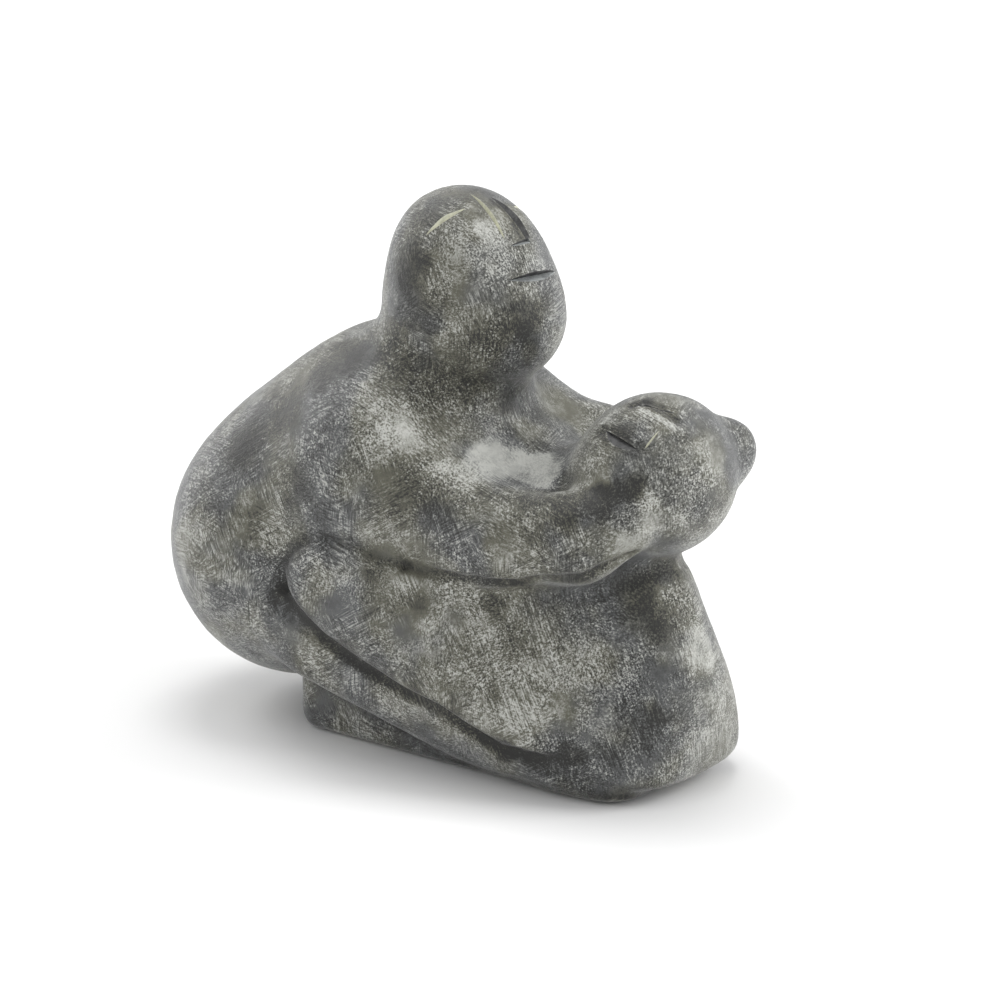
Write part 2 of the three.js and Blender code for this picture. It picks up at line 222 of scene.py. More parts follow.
@dataclass
class Legs:
    """The folded legs, as one block with the feet under the shins."""

    turn: float = 27
    lean: float = 17
    front_lean: float = 19
    hem_slope: float = 18.8
    tuck_slope: float = 28
    shin_slope: float = 17
    top: float = 60
    half_width: float = 40.4
    thigh_back: float = 32.7
    shin_back: float = 40
    foot_half_width: float = 26.5
    foot_back: float = 37.6
    foot_front: float = -34
    foot_top: float = 20
    foot_round: float = 7
    side_point: Triple = (35, -30, 30)
    front_point: Triple = (0, -72.8, 40)
    toes_point: Triple = (0, -75.6, 10)
    toes_way: Triple = (0, -0.93, -0.37)
    hem_point: Triple = (0, -10, 21.6)
    tuck_point: Triple = (38, 0, 21)
    edge_point: Triple = (0, 0, 8.5)
    front_round: float = 12
    back_round: float = 12
    thigh_side_round: float = 10
    top_round: float = 9
    hem_round: float = 8
    shin_side_round: float = 8
    tuck_round: float = 8
    under_hem_round: float = 5
    edge_round: float = 4

    def faces(self, p: np.ndarray) -> dict[str, np.ndarray]:
        """Give the distances of points to the flat faces of the leg block."""
        turn, lean, front = map(math.radians, (self.turn, self.lean, self.front_lean))
        hem, tuck, shin = map(math.radians, (self.hem_slope, self.tuck_slope, self.shin_slope))
        side = (math.cos(turn) * math.cos(lean), -math.sin(turn) * math.cos(lean), math.sin(lean))
        return {
            "side": Face(self.side_point, side).distance(p),
            "front": Face(self.front_point, (0, -math.cos(front), math.sin(front))).distance(p),
            "toes": Face(self.toes_point, self.toes_way).distance(p),
            "hem": Face(self.hem_point, (0, math.sin(hem), -math.cos(hem))).distance(p),
            "tuck": Face(self.tuck_point, (math.cos(tuck), 0, -math.sin(tuck))).distance(p),
            "edge": Face(self.edge_point, (0, math.sin(shin), -math.cos(shin))).distance(p),
        }

    def thigh(self, p: np.ndarray, at: dict[str, np.ndarray]) -> np.ndarray:
        """Give the distances of points to the thighs and knees."""
        d = overlap(at["side"], at["front"], self.front_round)
        d = overlap(d, at["toes"], self.front_round)
        d = overlap(d, p[:, 0] - self.half_width, self.thigh_side_round)
        d = overlap(d, p[:, 2] - self.top, self.top_round)
        d = overlap(d, p[:, 1] - self.thigh_back, self.back_round)
        return overlap(d, at["hem"], self.hem_round)

    def shin(self, p: np.ndarray, at: dict[str, np.ndarray]) -> np.ndarray:
        """Give the distances of points to the shins, under the hem."""
        d = overlap(at["side"] + 0.8, at["front"] + 0.6, self.front_round)
        d = overlap(d, p[:, 0] - self.half_width + 1.5, self.shin_side_round)
        d = overlap(d, at["tuck"], self.tuck_round)
        d = overlap(d, -at["hem"] - 1, self.under_hem_round)
        d = overlap(d, at["toes"], self.front_round)
        d = overlap(d, at["edge"], self.edge_round)
        return overlap(d, p[:, 1] - self.shin_back, self.back_round)

    def feet(self, p: np.ndarray) -> np.ndarray:
        """Give the distances of points to the block of the feet."""
        half = (self.foot_back - self.foot_front) / 2
        middle = (self.foot_back + self.foot_front) / 2
        a = p[:, 0] - self.foot_half_width + self.foot_round
        b = np.abs(p[:, 1] - middle) - half + self.foot_round
        c = np.abs(p[:, 2]) - self.foot_top + self.foot_round
        outside = np.sqrt(np.maximum(a, 0) ** 2 + np.maximum(b, 0) ** 2 + np.maximum(c, 0) ** 2)
        return outside + np.minimum(np.maximum(np.maximum(a, b), c), 0) - self.foot_round


@dataclass
class Child:
    """The child, whose back lies on her lap."""

    head: Ball = Ball((0, -58, 78.8), (21.4, 19.6, 20.3), 6)
    chest: Limb = Limb((0, -32, 69), (0, -52, 76), 12, 13)
    neck_blend: float = 8

    def distance(self, p: np.ndarray) -> np.ndarray:
        """Give the distances of points to the child."""
        return join(self.head.distance(p), self.chest.distance(p), self.neck_blend)


class Wall(Enum):
    """What a wall of a chisel cut looks like."""

    # Pale walls: fresh-cut stone in the eyes, and painted light on the lit bevel of her near nose
    # groove.
    FRESH_AND_LIT = "fresh_and_lit"
    GREY = "grey"
    # Near-black walls, painted shade for cuts that lie in shade.
    PAINTED_SHADE = "painted_shade"


@dataclass(frozen=True)
class Cut:
    """A chisel cut between two points, given as shares left, forward and up of a head."""

    start: Triple
    end: Triple
    sinks: tuple[float, float]
    slopes: tuple[float, float]
    # By default both walls are painted shade.
    walls: tuple[Wall, Wall] = (Wall.PAINTED_SHADE, Wall.PAINTED_SHADE)


@dataclass
class FaceMarks:
    """The cuts of one face, seen from the middle of its head."""

    middle: Triple
    turn: float
    cuts: list[Cut] = field(default_factory=list)


FRESH_AND_LIT_WALLS = (Wall.FRESH_AND_LIT, Wall.FRESH_AND_LIT)
# Painted shade on the upper wall, grey stone below.
GREY_BELOW = (Wall.PAINTED_SHADE, Wall.GREY)
EYE_SINKS = (0.35, 0.35)
EYE_SLOPES = (36, 36)
CHILD_NOSE_SINKS = (0.4, 0.4)
STEEP = 14
FLAT = 58
CHILD_FLAT = 52

MOTHER_FACE = FaceMarks(
    (0, -1.5, 114),
    8,
    [
        Cut((-15.8, -0.6, 18.9), (-7.5, 4.9, 25.2), EYE_SINKS, EYE_SLOPES, FRESH_AND_LIT_WALLS),
        Cut((14.2, 3.4, 19), (6.1, 8.3, 24), EYE_SINKS, EYE_SLOPES, FRESH_AND_LIT_WALLS),
        # Its pale walls paint the light on the lit bevel beside the nose.
        Cut((-2.8, 1.4, 27.9), (-4, 15.6, 18.6), (0.1, 0.3), (30, STEEP), FRESH_AND_LIT_WALLS),
        Cut((0.9, 4.6, 26.9), (2.6, 16.3, 18), (0.1, 1.4), (FLAT, STEEP)),
        Cut((-4.5, 16.6, 17), (3.6, 16.6, 18.2), (0, 1.2), (STEEP, FLAT), GREY_BELOW),
        Cut((-7.6, 19.3, 9.4), (10.2, 18.7, 8.7), (0, 0), (16, 42), GREY_BELOW),
    ],
)

CHILD_FACE = FaceMarks(
    (0, -57.2, 80),
    0,
    [
        Cut((-19.2, 9.3, 11.2), (-11.1, 9.1, 14), EYE_SINKS, EYE_SLOPES, FRESH_AND_LIT_WALLS),
        Cut((-13.6, -6.8, 12.7), (-19.2, 9.1, 11.2), CHILD_NOSE_SINKS, (STEEP, CHILD_FLAT)),
        Cut((-7.8, -3, 18), (-4.6, 9, 16.9), CHILD_NOSE_SINKS, (CHILD_FLAT, STEEP)),
    ],
)


@dataclass(frozen=True)
class Shot:
    """Where the photograph was taken from, and how its pixels map to the drawing."""

    azimuth: float = -52.5
    elevation: float = 17.0
    distance: float = 1100.0
    pixels_per_part: float = 3.9
    origin_pixel: tuple[float, float] = (469.5, 729.3)
    frame_pixels: float = 1000.0
    first_step: float = 0.88
    rounds: int = 200
    caution: float = 0.7

    def ways(self) -> tuple[Vector, Vector, Vector]:
        """Give the directions to the picture's right, its top and back to the camera."""
        a, e = math.radians(self.azimuth), math.radians(self.elevation)
        back = Vector((math.sin(a) * math.cos(e), -math.cos(a) * math.cos(e), math.sin(e)))
        right = Vector((math.cos(a), math.sin(a), 0))
        return right, back.cross(right), back

    def spot(self) -> Vector:
        """Give the camera's place in the drawing."""
        right, up, back = self.ways()
        half = self.frame_pixels / 2
        shift = right * (half - self.origin_pixel[0]) + up * (self.origin_pixel[1] - half)
        return shift / self.pixels_per_part + back * self.distance

    def points(
        self,
        form: Callable[[np.ndarray], np.ndarray],
        pixels: Sequence[tuple[float, float]],
    ) -> np.ndarray:
        """Find where pixels of the photograph lie on a form.

        Args:
            form: Gives the distances of drawing points to the form.
            pixels: Pixels that show the form.

        Returns:
            The points on the form, one per row.
        """
        right, up, back = (np.array(way) for way in self.ways())
        aside = np.array(pixels, float) - self.frame_pixels / 2
        focus = self.pixels_per_part * self.distance
        rays = (right * aside[:, :1] - up * aside[:, 1:]) / focus - back
        rays /= np.linalg.norm(rays, axis=1, keepdims=True)
        points = np.array(self.spot()) + rays * self.distance * self.first_step
        for _ in range(self.rounds):
            points += self.caution * rays * form(points)[:, None]
        return points


SHOT = Shot()


@dataclass(frozen=True)
class Crease:
    """A line in the stone, such as where two forms meet, cut a little deeper and painted darker,
    mostly as shade; a few lines are painted lighter.

    Its corners are read off the photograph, in pixels. The rest is in millimetres.
    """

    corners: tuple[tuple[float, float], ...]
    half: float
    depth: float
    tone: float
    both_sides: bool = False

    def share(self, way: np.ndarray, points: np.ndarray, wider: float) -> np.ndarray:
        """Give how much points lie in the crease.

        Args:
            way: The crease's corners on the stone, in the drawing.
            points: Points in the drawing.
            wider: How many times its half width it reaches.

        Returns:
            The shares, one on the crease's line and nought beside it.
        """
        gap = np.full(len(points), 1e9)
        for start, end in zip(way, way[1:]):
            run = end - start
            along = np.clip((points - start) @ run / (run @ run), 0, 1)
            gap = np.minimum(gap, np.linalg.norm(points - start - along[:, None] * run, axis=1))
        share = np.clip(1 - gap / (self.half * wider), 0, 1)
        return share * share * (3 - 2 * share)


# Most tones below nought paint shade along the creases and under the arm; over_arm paints a darker
# line on top of the arm, and child_lid and child_ridge are painted lighter.
CREASES = {
    "fold": Crease(
        (
            (282, 588), (305, 620), (322, 637), (345, 655), (372, 672), (405, 692), (440, 710),
            (470, 730), (500, 750), (535, 758), (578, 758),
        ),
        2.6, 1.3, -1.0, both_sides=True,
    ),
    "thigh_end": Crease(
        ((282, 588), (280, 568), (289, 552), (305, 541)), 2.4, 1.1, -0.6, both_sides=True
    ),
    "thigh_top": Crease(((325, 537), (350, 543), (380, 556), (405, 566)), 2, 0.7, -0.35),
    "under_arm": Crease(
        ((405, 566), (440, 575), (475, 580), (521, 584), (568, 579), (605, 567), (635, 555)),
        2.2, 1.2, -0.9,
    ),
    # Painted shadow under the near lower edge.
    "under_hem": Crease(
        ((455, 766), (485, 775), (520, 785), (555, 795), (590, 802), (622, 804)), 2.6, 0.6, -1.2
    ),
    "shoulder": Crease(((361, 424), (381, 435)), 0.9, 0.4, -0.6),
    "over_arm": Crease(((480, 494), (521, 500), (560, 498), (600, 492), (640, 488)), 2.4, 0, -0.45),
    "nose_side": Crease(((492, 200), (507, 213), (517, 226), (522, 237)), 1.1, 0.3, -1.0),
    "child_brow": Crease(((631, 405), (645, 400), (660, 406), (678, 421)), 1.3, 0.7, -1.2),
    "child_hollow": Crease(((601, 430), (620, 438), (639, 449)), 2.2, 0.7, -1.1),
    "child_lid": Crease(((640, 411), (655, 414), (672, 425)), 1.1, 0, 0.9),
    "child_ridge": Crease(((600, 424), (617, 408)), 0.8, 0, 0.9),
}


@dataclass(frozen=True)
class StainAndPaintedLight:
    """A soft patch where the stone is darker or lighter, more olive, or rubbed smooth; some are
    real stains, and some are painted highlights, painted reflections on rims and painted shade.

    Its place and its half width are read off the photograph, in pixels. Its strengths
    are set after comparing mean tones of the render and the photograph.
    """

    place: tuple[float, float]
    half: float
    tone: float
    olive: float
    rubbed: float = 0.0


# Most patches are real stains and mottling; the painted light and shade among them is marked below.
STAINS_AND_PAINTED_LIGHT = {
    # Painted highlight where the brow faces up.
    "brow": StainAndPaintedLight((490, 232), 14, 0.6, 0, 0.4),
    "brow_top": StainAndPaintedLight((505, 210), 10, 0.3, 0, 0.4),
    "head_top": StainAndPaintedLight((450, 198), 26, -0.5, 0.2),
    "head_top2": StainAndPaintedLight((480, 192), 18, -0.3, 0.1),
    "cheek_side": StainAndPaintedLight((412, 280), 24, -0.35, 0.1),
    # Painted shade under the chin.
    "face_low": StainAndPaintedLight((525, 325), 24, -0.35, 0.1),
    # Painted highlights on the up-facing chest.
    "chest_light": StainAndPaintedLight((505, 462), 26, 0.5, -0.4, 0.3),
    "chest_light2": StainAndPaintedLight((540, 468), 20, 0.6, -0.4, 0.3),
    "child_low": StainAndPaintedLight((708, 515), 20, -0.4, -0.2),
    "back_high": StainAndPaintedLight((340, 360), 32, -0.9, 0.2),
    "back_high2": StainAndPaintedLight((270, 410), 32, -0.7, 0.2),
    "back_side": StainAndPaintedLight((235, 450), 26, -0.4, 0.1),
    "chip": StainAndPaintedLight((485, 259), 5, 1.2, 0.6),
    "shoulder_mid": StainAndPaintedLight((455, 420), 22, 0.2, 0.2),
    # Painted light on the front of the knees, which faces the right lamp.
    "front_light": StainAndPaintedLight((702, 650), 18, 0.3, 0, 0.2),
    "arm_top1": StainAndPaintedLight((560, 500), 12, -0.7, 0.3),
    "arm_top2": StainAndPaintedLight((600, 498), 12, -0.7, 0.3),
    "back_olive": StainAndPaintedLight((285, 415), 28, -0.5, 0.7),
    "back_olive2": StainAndPaintedLight((245, 445), 26, -0.5, 0.5),
    "back_dark": StainAndPaintedLight((200, 500), 22, -0.35, 0.2),
    # Painted reflection on the left rim of the back.
    "back_edge": StainAndPaintedLight((190, 560), 30, 0.25, 0, 0.4),
    "rump_low": StainAndPaintedLight((230, 610), 40, 0.2, 0, 0.3),
    "rump_mid": StainAndPaintedLight((240, 520), 35, -0.1, 0),
    "shoulder_dark": StainAndPaintedLight((290, 480), 30, -0.45, 0.2),
    "shoulder_top": StainAndPaintedLight((320, 365), 30, -0.4, 0.3),
    "collar_light": StainAndPaintedLight((385, 415), 24, 0.4, 0.6),
    "collar_light2": StainAndPaintedLight((405, 440), 16, 0.45, 0.5),
    "nape": StainAndPaintedLight((395, 350), 24, -0.5, 0.6),
    "neck": StainAndPaintedLight((440, 380), 34, -0.35, 0.4),
    "neck2": StainAndPaintedLight((480, 365), 26, -0.4, 0.3),
    # Painted shadow in the crease under the jaw.
    "throat": StainAndPaintedLight((508, 402), 10, -0.7, 0.1, 0.4),
    # Painted highlights on the up-facing chest, which is also rubbed smooth.
    "chest1": StainAndPaintedLight((500, 458), 26, 1, -0.3, 0.8),
    "chest2": StainAndPaintedLight((535, 470), 24, 1, -0.3, 0.8),
    "chest3": StainAndPaintedLight((470, 470), 22, 0.7, -0.1, 0.6),
    # Lighter and more olive: partly an olive patch, partly a painted highlight on the far arm.
    "far_arm": StainAndPaintedLight((555, 400), 30, 0.35, 0.7, 0.8),
    "far_arm2": StainAndPaintedLight((530, 430), 16, 0.4, 0.4, 0.7),
    "arm_dark": StainAndPaintedLight((400, 490), 28, -0.4, 0.1),
    "arm_dark2": StainAndPaintedLight((450, 505), 26, -0.35, 0.2),
    "arm_mid": StainAndPaintedLight((440, 540), 34, -0.1, -0.1),
    "fore_dark1": StainAndPaintedLight((530, 510), 20, -0.45, 0.5),
    "fore_dark2": StainAndPaintedLight((565, 512), 16, -0.8, 0.4),
    "fore_dark3": StainAndPaintedLight((600, 500), 17, -0.9, 0.3),
    "fore_dark4": StainAndPaintedLight((632, 492), 13, -0.8, 0.4),
    "fore_dark5": StainAndPaintedLight((540, 535), 10, -0.8, 0.3),
    "hand_light": StainAndPaintedLight((648, 500), 9, 0.7, 0.5),
    # Painted shade under the forearm.
    "fore_low": StainAndPaintedLight((560, 560), 30, -0.2, 0.1),
    "band1": StainAndPaintedLight((625, 550), 16, 0.45, 0.1, 1),
    "band2": StainAndPaintedLight((650, 525), 16, 0.45, 0, 1),
    "inner_band": StainAndPaintedLight((600, 484), 12, 0.45, 0.7, 1),
    "inner_band2": StainAndPaintedLight((570, 488), 10, 0.45, 0.6, 1),
    "child_cheek": StainAndPaintedLight((615, 460), 20, -0.1, 0.1, 0.6),
    # Painted shade in the child's eye hollows and along its brow.
    "child_hollow": StainAndPaintedLight((618, 436), 14, -0.8, 0.3, 0.2),
    "child_brow": StainAndPaintedLight((600, 415), 10, -0.6, 0.4),
    "child_arch": StainAndPaintedLight((648, 404), 12, -0.9, 0.2),
    "child_arch2": StainAndPaintedLight((672, 412), 10, -0.7, 0.3),
    "child_face": StainAndPaintedLight((680, 422), 14, 0.4, -0.3, 0.2),
    # Painted highlight on the top of the child's head.
    "child_top": StainAndPaintedLight((690, 402), 16, 0.4, 0.2, 0.2),
    "child_right": StainAndPaintedLight((712, 455), 26, 0.35, 0.8),
    "child_side": StainAndPaintedLight((700, 500), 26, 0, -0.5),
    "child_under": StainAndPaintedLight((690, 535), 18, 0, 0.1),
    # Painted reflection on the rim of the child's head.
    "child_rim": StainAndPaintedLight((733, 500), 10, 0.3, 0, 0.5),
    "far_hand": StainAndPaintedLight((745, 440), 12, 0.2, 0.3, 0.2),
    "head_crown": StainAndPaintedLight((460, 200), 22, 0.35, 0.2),
    "head_side": StainAndPaintedLight((408, 260), 22, -0.5, 0.3),
    "head_side2": StainAndPaintedLight((415, 310), 26, -0.45, 0.1),
    # Painted reflection on the rim of her head.
    "head_back": StainAndPaintedLight((392, 300), 10, 0.2, 0.1, 0.4),
    "temple": StainAndPaintedLight((425, 215), 14, -0.45, 0.1),
    "face_mid": StainAndPaintedLight((480, 250), 26, 0.25, 0.2, 0.2),
    "face_nose": StainAndPaintedLight((540, 255), 16, 0.25, 0, 0.4),
    "cheek_olive": StainAndPaintedLight((450, 345), 22, 0.1, 0.9),
    # Painted shade under the chin and jaw; under_jaw is also more olive.
    "chin1": StainAndPaintedLight((525, 315), 18, -0.55, 0.1),
    "chin2": StainAndPaintedLight((500, 335), 20, -0.5, 0),
    "chin3": StainAndPaintedLight((545, 300), 10, -0.6, 0.2),
    "under_jaw": StainAndPaintedLight((530, 352), 12, -0.3, 0.6),
    "lobe_light": StainAndPaintedLight((320, 580), 18, 0.4, 0.7),
    "lobe_grey": StainAndPaintedLight((345, 595), 20, 0.1, -0.3, 0.2),
    "lobe_edge": StainAndPaintedLight((283, 590), 9, 0.1, 0.8),
    "thigh_dark": StainAndPaintedLight((375, 575), 14, -0.45, 0.1),
    "thigh_dark2": StainAndPaintedLight((415, 603), 12, -0.6, 0.3),
    "thigh_light1": StainAndPaintedLight((460, 625), 26, 0.3, 0.6),
    "thigh_dark3": StainAndPaintedLight((495, 610), 12, -0.6, 0.3),
    "thigh_dark4": StainAndPaintedLight((520, 640), 20, -0.3, 0),
    "thigh_light2": StainAndPaintedLight((440, 670), 24, 0.25, 0.6),
    "thigh_light3": StainAndPaintedLight((540, 690), 34, 0.4, 0.7),
    "thigh_light4": StainAndPaintedLight((520, 730), 26, 0.45, 0.7),
    "thigh_light5": StainAndPaintedLight((590, 660), 26, 0.3, 0.5),
    "spot_dark": StainAndPaintedLight((548, 697), 5, -0.8, 0.3),
    "top_grey": StainAndPaintedLight((560, 600), 30, -0.2, -0.1, 0.2),
    "ridge_dark1": StainAndPaintedLight((650, 610), 22, -0.5, 0.5),
    "ridge_dark2": StainAndPaintedLight((665, 630), 16, -0.5, 0.4),
    "ridge_dark3": StainAndPaintedLight((640, 590), 18, -0.2, 0.5),
    # Painted light on the front of the knees, which faces the right lamp.
    "front_light1": StainAndPaintedLight((705, 650), 24, 0.35, 0.2, 0.6),
    "front_light2": StainAndPaintedLight((715, 720), 28, 0.35, -0.1, 0.4),
    "front_low": StainAndPaintedLight((690, 770), 20, 0.1, -0.3, 0.2),
    "knee_dark1": StainAndPaintedLight((640, 728), 22, -0.4, 0.1),
    "knee_dark2": StainAndPaintedLight((612, 748), 18, -0.2, 0.1),
    "knee_dark3": StainAndPaintedLight((662, 715), 10, -0.6, 0.3),
    "knee_light": StainAndPaintedLight((655, 707), 8, 0.6, 0.4),
    # Painted shade on the fold's lower wall.
    "low_dark1": StainAndPaintedLight((500, 750), 14, -0.75, 0.3),
    "low_dark2": StainAndPaintedLight((535, 757), 12, -0.5, 0.3),
    "low_dark3": StainAndPaintedLight((575, 758), 14, -0.5, 0.3),
    "strip1": StainAndPaintedLight((350, 675), 14, 0.15, 0, 0.3),
    "strip2": StainAndPaintedLight((400, 715), 16, 0.1, -0.1, 0.3),
    "strip3": StainAndPaintedLight((470, 755), 18, 0.15, -0.1, 0.2),
    # Painted shade along the fold between thigh and shin.
    "crease1": StainAndPaintedLight((345, 650), 12, -0.7, 0),
    "crease2": StainAndPaintedLight((378, 668), 13, -0.75, 0),
    "crease3": StainAndPaintedLight((302, 615), 9, -0.9, 0),
    "crease4": StainAndPaintedLight((410, 688), 10, -0.6, 0.1),
    "foot1": StainAndPaintedLight((330, 710), 24, -0.05, 0),
    "foot2": StainAndPaintedLight((400, 745), 18, -0.35, 0),
    "low_blue": StainAndPaintedLight((600, 785), 22, 0.05, -0.4, 0.2),
}


@dataclass
class Figure:
    """The whole carving: its form, its skin and the tones that lie on it."""

    trunk: Trunk = field(default_factory=Trunk)
    head: Head = field(default_factory=Head)
    right_arm: Arm = RIGHT_ARM
    left_arm: Arm = LEFT_ARM
    fingers: Ball = Ball((16.6, -67.3, 84), (5.9, 7.1, 6.6))
    legs: Legs = field(default_factory=Legs)
    child: Child = field(default_factory=Child)
    cell: float = 0.88
    floor_edge: float = 6.0
    arm_blend: float = 6
    arm_blend_growth: float = 12
    arm_blend_start: float = -25
    arm_blend_run: float = 35
    head_blend: float = 9
    shin_blend: float = 8
    thigh_blend: float = 2.5
    foot_blend: float = 2
    finger_blend: float = 6
    child_blend: float = 4

    def form(self, points: np.ndarray) -> np.ndarray:
        """Give the distances of drawing points to the figure's form.

        Args:
            points: Points in the drawing's millimetres, one per row.

        Returns:
            The distances, below nought inside the stone.
        """
        p, other = points.copy(), points * np.array([-1, 1, 1])
        p[:, 0] = np.abs(p[:, 0])
        arms = np.minimum(self.right_arm.distance(other), self.left_arm.distance(points))
        back = np.clip((p[:, 1] - self.arm_blend_start) / self.arm_blend_run, 0, 1)
        soft = self.arm_blend + self.arm_blend_growth * back
        faces = self.legs.faces(p)
        d = join(self.trunk.distance(p), arms, soft)
        d = join(d, self.head.distance(p), self.head_blend)
        d = join(d, self.legs.shin(p, faces), self.shin_blend)
        d = join(d, self.legs.thigh(p, faces), self.thigh_blend)
        d = join(d, self.legs.feet(p), self.foot_blend)
        d = join(d, self.fingers.distance(points), self.finger_blend)
        return join(d, self.child.distance(p), self.child_blend)

    def standing(self, points: np.ndarray) -> np.ndarray:
        """Give the distances to the form cut flat at the floor, with a worn lower edge."""
        return overlap(self.form(points), -points[:, 2], self.floor_edge)

    def outward(self, points: np.ndarray, step: float = 0.05) -> np.ndarray:
        """Give the outward directions of the standing form at points."""
        slopes = [
            self.standing(points + shift) - self.standing(points - shift)
            for shift in np.eye(3) * step
        ]
        n = np.stack(slopes, axis=1)
        return n / np.maximum(np.linalg.norm(n, axis=1, keepdims=True), 1e-9)

    def settle(self, points: np.ndarray, rounds: int = 3) -> np.ndarray:
        """Bring points onto the standing form.

        Args:
            points: Points near the form.
            rounds: How often each point is moved along its outward direction.

        Returns:
            The points on the form.
        """
        for _ in range(rounds):
            points = points - self.outward(points) * self.standing(points)[:, None]
        return points

    def touch(self, marks: FaceMarks, shares: Triple) -> np.ndarray:
        """Find where a direction from a head's middle leaves the stone.

        Args:
            marks: The face, with its middle and turn.
            shares: The direction's shares to her left, forward and up.

        Returns:
            The point on the form.
        """
        left, forward, up = shares
        c, s = math.cos(math.radians(marks.turn)), math.sin(math.radians(marks.turn))
        way = np.array([left * c - forward * s, -left * s - forward * c, up])
        way /= np.linalg.norm(way)
        reach = 0.0
        middle = np.array(marks.middle, float)
        for _ in range(60):
            reach -= float(self.form((middle + way * reach)[None])[0])
        return middle + way * reach

    def skin(self) -> bpy.types.Object:
        """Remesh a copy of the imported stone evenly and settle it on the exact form.

        Returns:
            The object that carries the skin.
        """
        bm = bmesh.new()
        bm.from_mesh(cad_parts[NODE].data)
        bmesh.ops.remove_doubles(bm, verts=bm.verts, dist=1e-7)
        mesh = bpy.data.meshes.new("carving_core")
        bm.to_mesh(mesh)
        bm.free()
        core = bpy.data.objects.new("carving_core", mesh)
        bpy.context.scene.collection.objects.link(core)
        remesh = core.modifiers.new("even", "REMESH")
        remesh.mode = "VOXEL"
        remesh.voxel_size = self.cell * METRES
        graph = bpy.context.evaluated_depsgraph_get()
        even = bpy.data.meshes.new_from_object(core.evaluated_get(graph))
        bpy.data.objects.remove(core)
        points = np.empty(len(even.vertices) * 3)
        even.vertices.foreach_get("co", points)
        points = points.reshape(-1, 3) / METRES
        points[:, 1] += OUTLINE_MIDDLE
        points = self.settle(points)
        points = points - self.outward(points) * self.relief(points)[:, None]
        points[:, 2] = np.maximum(points[:, 2], 0.0)
        self.tones(even, points)
        points[:, 1] -= OUTLINE_MIDDLE
        even.vertices.foreach_set("co", (points * METRES).ravel())
        even.name = "carved_stone"
        piece = bpy.data.objects.new("carved_stone", even)
        bpy.context.scene.collection.objects.link(piece)
        LOG.info("skin: %d corners, %d faces", len(even.vertices), len(even.polygons))
        return piece

    def traced(self) -> Iterator[tuple[Crease, np.ndarray]]:
        """Give each crease with its corners on the form."""
        for crease in CREASES.values():
            way = SHOT.points(self.form, crease.corners)
            yield crease, way
            if crease.both_sides:
                yield crease, way * np.array([-1, 1, 1])

    def relief(self, points: np.ndarray) -> np.ndarray:
        """Give how deep the tool marks and dents lie under the form.

        Args:
            points: Points on the form.

        Returns:
            Depths in millimetres, never below nought.
        """
        depths = np.empty(len(points))
        for n, p in enumerate(points):
            v = Vector(p)
            planes = noise.noise(v / 13) * 0.5 + 0.5
            dents = noise.noise(v / 4.6 + Vector((7, 3, 1))) * 0.5 + 0.5
            rasp = noise.noise(v / 2.2 + Vector((1, 9, 4))) * 0.5 + 0.5
            depths[n] = 0.03 + 0.3 * planes + 0.16 * dents + 0.1 * rasp
        for crease, way in self.traced():
            depths += crease.depth * crease.share(way, points, 1.0)
        fade = np.clip((points[:, 2] - 0.4) / 3, 0, 1)
        return depths * fade

    def tones(self, mesh: bpy.types.Mesh, points: np.ndarray) -> None:
        """Write the painted shade in the hollows, the worn rims and the patches of stain and
        painted light on the mesh.

        Args:
            mesh: The mesh that gets the attributes.
            points: Its corners in the drawing.
        """
        n = self.outward(points)
        # Painted shade in the hollows: how far the form closes in over each point, like ambient
        # occlusion.
        painted_hollow_shade = np.zeros(len(points))
        for reach, weight in ((2.5, 0.5), (6, 0.5), (13, 0.5)):
            gap = self.standing(points + n * reach)
            painted_hollow_shade += weight * np.clip((reach - gap) / reach, 0, 1)
        worn = np.zeros(len(points))
        for reach in (2.0, 4.0):
            bend = sum(
                self.standing(points + shift) + self.standing(points - shift)
                for shift in np.eye(3) * reach
            )
            worn += 0.5 * np.clip(bend / reach / 1.2 - 0.25, 0, 1)
        for name, values in (("painted_hollow_shade", painted_hollow_shade), ("worn", worn)):
            layer = mesh.attributes.new(name, "FLOAT", "POINT")
            layer.data.foreach_set("value", np.clip(values, 0, 1).astype(np.float32))
        coarse = np.array([noise.noise_vector(Vector(p) / 7) for p in points])
        fine = np.array([noise.noise_vector(Vector(p) / 2.6) for p in points])
        moved = points + coarse * 2.6 + fine * 1.1
        sums = {name: np.zeros(len(points)) for name in ("tone", "olive", "rubbed")}
        # Real stains and patches of painted light and shade go into the tone.
        middles = SHOT.points(self.form, [patch.place for patch in STAINS_AND_PAINTED_LIGHT.values()])
        for patch, middle in zip(STAINS_AND_PAINTED_LIGHT.values(), middles):
            half = patch.half / SHOT.pixels_per_part
            gap = np.linalg.norm(moved - middle, axis=1) / half
            share = np.clip(1.5 - gap, 0, 1)
            share = share * share * (3 - 2 * share)
            for name in sums:
                sums[name] += share * getattr(patch, name)
        moved = points + coarse * 0.6 + fine * 0.9
        # Painted shade along the creases, and a few lighter lines, go into the tone.
        for crease, way in self.traced():
            sums["tone"] += crease.tone * crease.share(way, moved, 1.6)
        for name, values in sums.items():
            layer = mesh.attributes.new(name, "FLOAT", "POINT")
            layer.data.foreach_set("value", np.clip(values, -0.9, 1.05).astype(np.float32))


